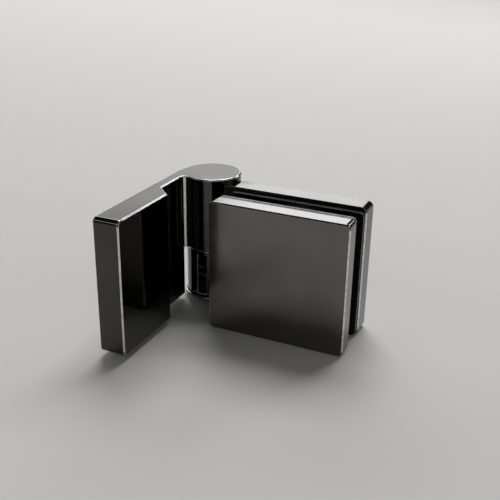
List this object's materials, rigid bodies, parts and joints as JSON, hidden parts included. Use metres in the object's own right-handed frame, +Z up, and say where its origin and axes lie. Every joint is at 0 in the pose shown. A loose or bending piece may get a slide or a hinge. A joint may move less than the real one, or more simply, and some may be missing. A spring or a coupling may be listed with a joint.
{
  "type": "glass door hinge",
  "caption": "Wall-to-glass shower door hinge in dark polished chrome: wall leaf with a hidden mounting plate, round pivot barrel, and a two-plate glass clamp held square to the wall leaf.",
  "frame": {"origin": "on the pivot axis, level with the underside of the glass clamp, which the hinge stands on", "axes": "+Z up along the pivot axis; the wall leaf reaches along -X with its back face towards +Y; the glass clamp reaches along -Y when the door is shut"},
  "size_m": [0.073, 0.0765, 0.052],
  "materials": {
    "dark_chrome": "dark chrome plating, mirror polished",
    "zinc_plate": "zinc plated steel, satin",
    "pin_steel": "ground stainless steel",
    "screw_steel": "stainless steel, bright",
    "black_steel": "black oxide steel",
    "gasket_rubber": "matt black EPDM sheet",
    "clear_sleeve": "milky nylon tube",
    "bush_acetal": "black acetal, turned"
  },
  "bodies": {
    "wall_side": {"wall_leaf": "dark_chrome", "bottom_cap": "dark_chrome", "mounting_plate": "zinc_plate", "lock_screws": "black_steel", "pin_screw": "black_steel", "collar_screw": "black_steel", "pivot_pin": "pin_steel", "index_collar": "pin_steel", "cap_screw": "screw_steel"},
    "glass_side": {"glass_leaf": "dark_chrome", "front_plate": "dark_chrome", "front_gasket": "gasket_rubber", "back_gasket": "gasket_rubber", "clamp_screws": "screw_steel", "screw_sleeves": "clear_sleeve", "upper_bush": "bush_acetal", "lower_bush": "bush_acetal", "upper_washer": "bush_acetal", "lower_washer": "bush_acetal"}
  },
  "joints": [
    {"name": "door_swing", "type": "hinge", "parent": "wall_side", "child": "glass_side", "pos_m": [0, 0, 0], "axis": [0, 0, 1], "range_deg": [0, 90]}
  ]
}
